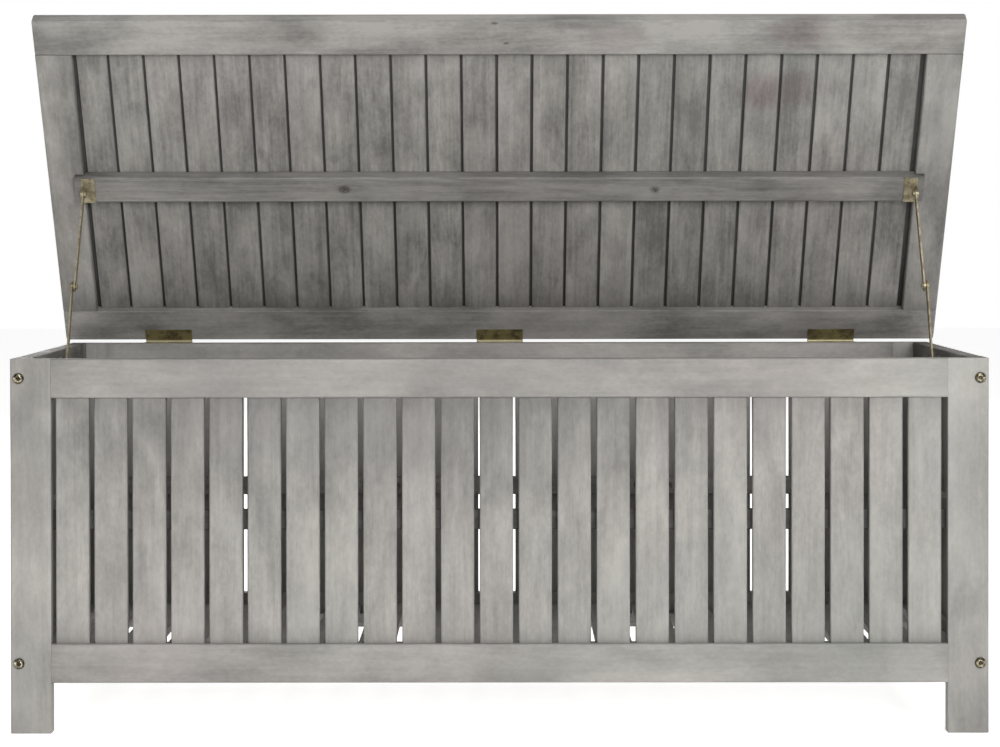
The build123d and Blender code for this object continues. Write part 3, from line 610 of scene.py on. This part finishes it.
# ---- Stains and patches of painted shade, each as (centre, reach, tint, strength) ----
lid_spots = (
    (on_lid(0.375, -0.408, 0), (0.080, 0.048, 0.048), ROSE, 0.6),
    (on_lid(0.347, -0.404, 0), (0.034, 0.034, 0.034), ROSE, 0.5),
    (on_lid(0.396, -0.497, 0), (0.060, 0.034, 0.034), ROSE, 0.5),
    (on_lid(0.155, -0.490, 0), (0.060, 0.030, 0.030), ROSE, 0.35),
    (on_lid(-0.006, -0.513, 0.0015), (0.007, 0.003, 0.003), KNOT, 0.8),
    (on_lid(0.009, -0.483, 0.0015), (0.006, 0.003, 0.003), KNOT, 0.85),
    # Painted shade, partly uneven wash, on the lid's right stile and along its rear by the hinge.
    (on_lid(0.595, -0.28, 0), (0.055, 0.20, 0.20), SHADE_AND_WASH, 0.75),
    (on_lid(0.0, -0.02, 0), (0.9, 0.04, 0.04), SHADE_AND_WASH, 0.35),
)
cleat_spots = tuple(
    (on_lid(x, -0.2595, -0.008), (0.011, 0.009, 0.009), KNOT, 0.8) for x in (-0.21, 0.21)
)
# Painted shade, partly uneven wash: darker patches on the front top rail, the front legs and the bottom rail.
frame_spots = (
    ((-0.15, -0.25, 0.435), (0.62, 0.15, 0.12), SHADE_AND_WASH, 0.55),
    ((-0.575, -0.25, 0.33), (0.05, 0.10, 0.14), SHADE_AND_WASH, 0.35),
    ((-0.575, -0.25, 0.06), (0.04, 0.10, 0.16), SHADE_AND_WASH, 0.45),
    ((0.575, -0.25, 0.06), (0.04, 0.10, 0.16), SHADE_AND_WASH, 0.6),
    ((0.0, -0.25, 0.086), (0.22, 0.10, 0.05), SHADE_AND_WASH, 0.35),
)
# Painted shade, partly uneven wash: the upper left and middle of the front slats darker.
slat_spots = (
    ((-0.17, -0.25, 0.40), (0.46, 0.10, 0.15), SHADE_AND_WASH, 1.0),
    ((0.10, -0.25, 0.38), (0.26, 0.10, 0.15), SHADE_AND_WASH, 0.5),
)
# Painted shade along the inner top of each side.
side_spots = tuple(
    ((side * 0.572, 0.0, 0.445), (0.012, 0.80, 0.05), DEEP_SHADE, 0.85) for side in (-1, 1)
)
# Painted shade in the back inner corners.
corner_spots = tuple(
    ((side * 0.575, 0.222, 0.44), (0.045, 0.012, 0.10), DEEP_SHADE, 0.5) for side in (-1, 1)
)
# The back top rail: painted shade in its corners, and painted shade with uneven wash over its left part.
back_rail_spots = (*corner_spots, ((-0.36, 0.222, 0.44), (0.28, 0.05, 0.10), SHADE_AND_WASH, 0.5))

# ---- Finishes ----
# One grey-washed timber throughout, in lighter and darker copies set part by part as painted light and shade:
# darker for the side and inner boards, the lid and the cleat, lighter for the back top rail.
frame_wood = grey_wash(
    "grey_wash_frame", average=0.211, contrast=0.36, grain=0.35, cloud=0.6, drifts=0.35, end_shade=0.1,
    spots=frame_spots
)
slat_wood = grey_wash(
    "grey_wash_slat", average=0.211, contrast=0.36, grain=0.55, cloud=0.7, end_shade=0.35,
    spots=slat_spots
)
inner_wood = grey_wash(
    "grey_wash_inner", average=0.190, contrast=0.42, grain=0.8, cloud=0.9, spots=side_spots
)
back_rail_wood = grey_wash(
    "grey_wash_back_rail", average=0.248, contrast=0.38, grain=0.4, cloud=0.6, drifts=0.3, end_shade=0.1,
    spots=back_rail_spots
)
lid_wood = grey_wash(
    "grey_wash_lid", average=0.165, contrast=0.42, grain=0.9, cloud=0.95, drifts=0.3,
    spots=lid_spots
)
lid_rail_wood = grey_wash(
    "grey_wash_lid_rail", average=0.178, contrast=0.40, grain=0.6, cloud=0.8, drifts=0.5,
    spots=lid_spots
)
floor_wood = grey_wash("grey_wash_floor", average=0.205, contrast=0.36, grain=0.8, cloud=0.9)
cleat_wood = grey_wash(
    "grey_wash_cleat", average=0.148, contrast=0.44, grain=0.9, cloud=0.6, drifts=0.4,
    spots=cleat_spots
)
# Painted shade: near black for the front batten, which sits in shade inside the front panel.
front_batten_shade = grey_wash("front_batten_shade", average=0.050, contrast=0.5, grain=1.0)
# Painted shade: near black for the tongues, which stand in the shaded gaps between the lid's slats.
groove_shade_wood = grey_wash("groove_painted_shade", average=0.036, contrast=0.4, grain=0.8)
hinge_brass = hinge_finish(
    "olive_brass", bright=(0.20, 0.17, 0.075), dull=(0.085, 0.066, 0.030), highlight_colour=(0.36, 0.33, 0.21)
)
stay_brass = metal(
    "pale_brass", bright=(0.34, 0.30, 0.20), dull=(0.17, 0.14, 0.085),
    rough_low=0.4, rough_high=0.6, wear_scale=110.0, metallic=0.6
)
bolt_brass = bolt_finish("bolt_brass", bright=(0.44, 0.40, 0.28), dull=(0.14, 0.12, 0.08))
steel = metal(
    "zinc_steel", bright=(0.62, 0.62, 0.60), dull=(0.38, 0.38, 0.37),
    rough_low=0.32, rough_high=0.5, wear_scale=80.0
)
stained_steel = metal(
    "stained_steel", bright=(0.22, 0.20, 0.17), dull=(0.07, 0.06, 0.05),
    rough_low=0.4, rough_high=0.6, wear_scale=240.0, metallic=0.7
)
brass_by_name = {"hinge": hinge_brass, "frame_bolts": bolt_brass}


def metal_for(node_name, slot_name):
    """The finish of a piece of hardware, told from its node's name."""
    if slot_name == "steel":
        return stained_steel if node_name == "cleat_screws" else steel
    for start, finish in brass_by_name.items():
        if node_name.startswith(start):
            return finish
    return stay_brass


for name, cad in frame["nodes"].items():
    slot = next(s["material_slot"] for s in frame["record"]["subparts"] if s["node"] == name)
    chosen = inner_wood if slot == "wood" else metal_for(name, slot)
    if not cad.material_slots:
        cad.data.materials.append(chosen)
    for material_slot in cad.material_slots:
        material_slot.material = chosen


# ---- Boards of the box ----
def boards_in(node_name, boxes, grain_axis, face_axis, material, **shape):
    """A board for each (low, high) box, numbered when there are several."""
    order = "XYZ"
    width_axis = next(a for a in order if a not in (grain_axis, face_axis))
    for index, (low, high) in enumerate(boxes):
        span = high - low
        size = tuple(span[order.index(a)] for a in (grain_axis, width_axis, face_axis))
        matrix = axes((low + high) / 2, UNIT[grain_axis], UNIT[face_axis])
        name = f"{node_name}_board" if len(boxes) == 1 else f"{node_name}_{index + 1:02d}"
        board(name, "box", node_name, size, matrix, material, **shape)


def slat_boxes(bounds, axis, layout):
    """A box for each slat, given as (centre, width) along an axis, within a node's bounds."""
    index = "XYZ".index(axis)
    boxes = []
    for centre, width in layout:
        low, high = (corner.copy() for corner in bounds)
        low[index] = centre - width / 2
        high[index] = centre + width / 2
        boxes.append((low, high))
    return boxes


def whole_board(node_name, grain_axis, face_axis, material, **shape):
    """One board that fills a CAD node's box."""
    boards_in(node_name, [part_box(node_name)], grain_axis, face_axis, material, **shape)


def trimmed(node_name, axis, trim):
    """A CAD node's box, shortened at both ends to take off its tenons or tongues."""
    low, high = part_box(node_name)
    index = "XYZ".index(axis)
    low[index] += trim
    high[index] -= trim
    return low, high


for panel in ("front", "back"):
    for side in ("left", "right"):
        whole_board(f"{panel}_{side}_leg", "Z", "Y", frame_wood, radius=LEG_EDGES[side])
        whole_board(f"{side}_side_{panel}_stile", "Z", "X", inner_wood)
    for level in ("top", "bottom"):
        name = f"{panel}_{level}_rail"
        wood = back_rail_wood if name == "back_top_rail" else frame_wood
        boards_in(name, [trimmed(name, "X", TENON)], "X", "Y", wood, ends=RAIL_ENDS)
    name = f"{panel}_slats"
    low, high = trimmed(name, "Z", TONGUE - TONGUE_SHOWN)
    pitch = (high.x - low.x - SLAT_WIDTH) / (SLAT_COUNT - 1)
    slat_width = SLAT_WIDTH if panel == "front" else BACK_SLAT_WIDTH
    layout = [(x + drift(x, *DRIFTS[panel]), slat_width) for x in spread(SLAT_COUNT, pitch)]
    boards_in(name, slat_boxes((low, high), "X", layout), "Z", "Y", slat_wood)
    # The front batten is near black: painted shade inside the front panel.
    whole_board(f"{panel}_batten", "X", "Y", front_batten_shade if panel == "front" else inner_wood)
    whole_board(f"{panel}_floor_batten", "X", "Y", inner_wood)

for side in ("left", "right"):
    for level in ("top", "bottom"):
        name = f"{side}_side_{level}_rail"
        boards_in(name, [trimmed(name, "Y", SHORT_TENON)], "Y", "X", inner_wood)
    name = f"{side}_side_slats"
    low, high = trimmed(name, "Z", TONGUE - TONGUE_SHOWN)
    middle = (low.y + high.y) / 2
    pitch = (high.y - low.y - SLAT_WIDTH) / (SIDE_SLAT_COUNT - 1)
    layout = [(middle + offset, SLAT_WIDTH) for offset in spread(SIDE_SLAT_COUNT, pitch)]
    boards_in(name, slat_boxes((low, high), "Y", layout), "Z", "X", inner_wood)
    whole_board(f"{side}_side_batten", "Y", "X", inner_wood)

low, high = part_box("floor_slats")
floor_end_x = high.x - FLOOR_END_SLAT_WIDTH / 2
floor_xs = [x + FLOOR_DRIFT for x in spread(FLOOR_SLAT_COUNT, FLOOR_SLAT_PITCH)]
layout = [(x, FLOOR_SLAT_WIDTH) for x in floor_xs]
layout += [(side * floor_end_x, FLOOR_END_SLAT_WIDTH) for side in (-1, 1)]
boards_in("floor_slats", slat_boxes((low, high), "X", layout), "Y", "Z", floor_wood)


# ---- Boards of the lid, built in the lid's own frame ----
def lid_board(name, node_name, centre, size, grain_axis, material, radius=EDGE, **shape):
    """A board of the lid; its face is the lid's underside."""
    matrix = lid_matrix @ axes(centre, UNIT[grain_axis], (0, 0, -1))
    board(name, "lid", node_name, size, matrix, material, radius, **shape)


lid_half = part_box("lid_front_rail")[1].x
lid_inner_half = lid_half - LID_STILE
lid_middle_w = LID_UNDER + LID_THICKNESS / 2
slat_w = LID_SLAT_LOW + LID_SLAT_THICKNESS / 2
opening = LID_LENGTH - LID_FRONT_RAIL - LID_BACK_RAIL
opening_v = LID_REAR - LID_BACK_RAIL - opening / 2
front_v = LID_REAR - LID_LENGTH + LID_FRONT_RAIL / 2
back_v = LID_REAR - LID_BACK_RAIL / 2
cleat_v = LID_REAR - LID_LENGTH / 2

rails = {
    "front": (front_v, LID_FRONT_RAIL, LID_EDGE),
    "back": (back_v, LID_BACK_RAIL, (LID_EDGE, LID_EDGE, LID_EDGE, EASED_EDGE)),
}
for rail, (v, width, rounding) in rails.items():
    lid_board(f"lid_{rail}_rail_board", f"lid_{rail}_rail", (0, v, lid_middle_w),
              (2 * lid_half, width, LID_THICKNESS), "X", lid_rail_wood, rounding, ends=LID_RAIL_ENDS)
for side, sign in (("left", -1), ("right", 1)):
    x = sign * (lid_half - LID_STILE / 2)
    lid_board(f"lid_{side}_stile_board", f"lid_{side}_stile", (x, opening_v, lid_middle_w),
              (opening, LID_STILE, LID_THICKNESS), "Y", lid_rail_wood, LID_EDGE)

slat_layout = [(x, LID_SLAT_WIDTH) for x in spread(LID_SLAT_COUNT - 2, LID_SLAT_PITCH)]
end_x = (LID_SLAT_COUNT - 2) * LID_SLAT_PITCH / 2
end_x += (LID_SLAT_PITCH - LID_SLAT_WIDTH + LID_END_SLAT_WIDTH) / 2
slat_layout = [(-end_x, LID_END_SLAT_WIDTH)] + slat_layout + [(end_x, LID_END_SLAT_WIDTH)]
slat_layout = [(x + drift(x, *LID_DRIFT), width) for x, width in slat_layout]
for index, (x, width) in enumerate(slat_layout):
    lid_board(f"lid_slats_{index + 1:02d}", "lid_slats", (x, opening_v, slat_w),
              (opening + 2 * TONGUE_SHOWN, width, LID_SLAT_THICKNESS), "Y", lid_wood, LID_SLAT_EDGE)

# Thin tongues close the gaps between the lid's slats and beside its stiles; their near-black colour is painted
# shade in the gaps.
starts = [-lid_inner_half] + [x + width / 2 for x, width in slat_layout]
stops = [x - width / 2 for x, width in slat_layout] + [lid_inner_half]
for index, (start, stop) in enumerate(zip(starts, stops)):
    tongue_width = stop - start + 2 * LID_TONGUE_REACH
    lid_board(f"lid_tongue_{index + 1:02d}", "lid_slats", ((start + stop) / 2, opening_v, slat_w),
              (opening, tongue_width, LID_TONGUE_THICKNESS), "Y", groove_shade_wood, TONGUE_EDGE)

# The cleat lies against the slats, and its thinner ends lap over the stiles.
cleat_depth = CLEAT_STAND + LID_SLAT_LOW - LID_UNDER
cleat_lap = CLEAT_HALF - (lid_inner_half - CLEAT_STEP_CLEARANCE)
cleat_w = LID_SLAT_LOW - cleat_depth / 2
cleat_matrix = lid_matrix @ axes((0, cleat_v, cleat_w), UNIT["X"], UNIT["Z"])
board("lid_cleat_board", "lid", "lid_cleat", (2 * CLEAT_HALF, CLEAT_WIDTH, cleat_depth),
      cleat_matrix, cleat_wood, LID_EDGE, ends=CLEAT_ENDS,
      step_at=(cleat_lap, LID_UNDER - cleat_w))

# ---- Ground ----
ground_mesh = bmesh.new()
bmesh.ops.create_grid(ground_mesh, x_segments=2, y_segments=2, size=GROUND_HALF)
ground_data = bpy.data.meshes.new("studio_floor")
ground_mesh.to_mesh(ground_data)
ground_mesh.free()
studio, tree, shader = new_material("studio_white")
cast = noise(tree, object_place(tree), 1.5, 2.0)
link(tree, mix(tree, cast, (0.90, 0.90, 0.895), (0.93, 0.93, 0.93)), shader.inputs["Base Color"])
shader.inputs["Roughness"].default_value = 0.9
shader.inputs["Specular IOR Level"].default_value = 0.1
shader.inputs["Emission Color"].default_value = (1, 1, 1, 1)
shader.inputs["Emission Strength"].default_value = GROUND_GLOW
ground_data.materials.append(studio)
ground = bpy.data.objects.new("studio_floor", ground_data)
ground.location = (0, 0, cad_low[2] - GROUND_DROP)
bpy.context.scene.collection.objects.link(ground)

# ---- Light: a white horizon under a dimmer dome, with soft boxes all round ----
world = bpy.data.worlds.new("studio")
bpy.context.scene.world = world
world.use_nodes = True
sky = world.node_tree
direction = parts_of(sky, sky.nodes.new("ShaderNodeTexCoord").outputs["Generated"])
dome = remap(sky, direction[2], *HORIZON_FADE, 1.0, DOME)
link(sky, dome, sky.nodes["Background"].inputs["Strength"])
sky.nodes["Background"].inputs["Color"].default_value = (1, 1, 1, 1)


def area_light(name, place, aim, size, power):
    """A soft box at a place, turned to face a point."""
    data = bpy.data.lights.new(name, "AREA")
    data.shape = "RECTANGLE"
    data.size, data.size_y = size
    data.energy = power
    lamp = bpy.data.objects.new(name, data)
    lamp.location = place
    facing = Vector(aim) - Vector(place)
    lamp.rotation_euler = facing.to_track_quat("-Z", "Y").to_euler()
    bpy.context.scene.collection.objects.link(lamp)


area_light("key", place=(1.4, -4.9, 1.70), aim=(0, 0, 0.45), size=(2.6, 1.8), power=221)
area_light("top", place=(0.2, -0.6, 3.3), aim=(0.1, -0.3, 0.6), size=(2.4, 1.4), power=34)
area_light("rear", place=(-1.2, 4.6, 2.6), aim=(0, 0, 0.45), size=(2.6, 1.8), power=90)
for side in (-1, 1):
    area_light(f"side_{side}", place=(side * 4.6, 0.3, 0.50), aim=(0, 0.05, 0.40), size=(2.4, 0.7),
               power=38)

# ---- Camera ----
camera_data = bpy.data.cameras.new("camera")
camera_data.sensor_width = SENSOR_WIDTH
camera_data.lens = LENS
camera_data.shift_y = LENS_SHIFT
camera_data.clip_end = FARTHEST
camera = bpy.data.objects.new("camera", camera_data)
camera.location = CAMERA_PLACE
upright = Matrix.Rotation(math.pi / 2, 3, "X")
yaw = Matrix.Rotation(CAMERA_YAW, 3, "Z")
pitch = Matrix.Rotation(CAMERA_PITCH, 3, "X")
roll = Matrix.Rotation(CAMERA_ROLL, 3, "Y")
camera.rotation_euler = (yaw @ pitch @ roll @ upright).to_euler()
bpy.context.scene.collection.objects.link(camera)
bpy.context.scene.camera = camera
bpy.context.scene.view_settings.view_transform = "Standard"
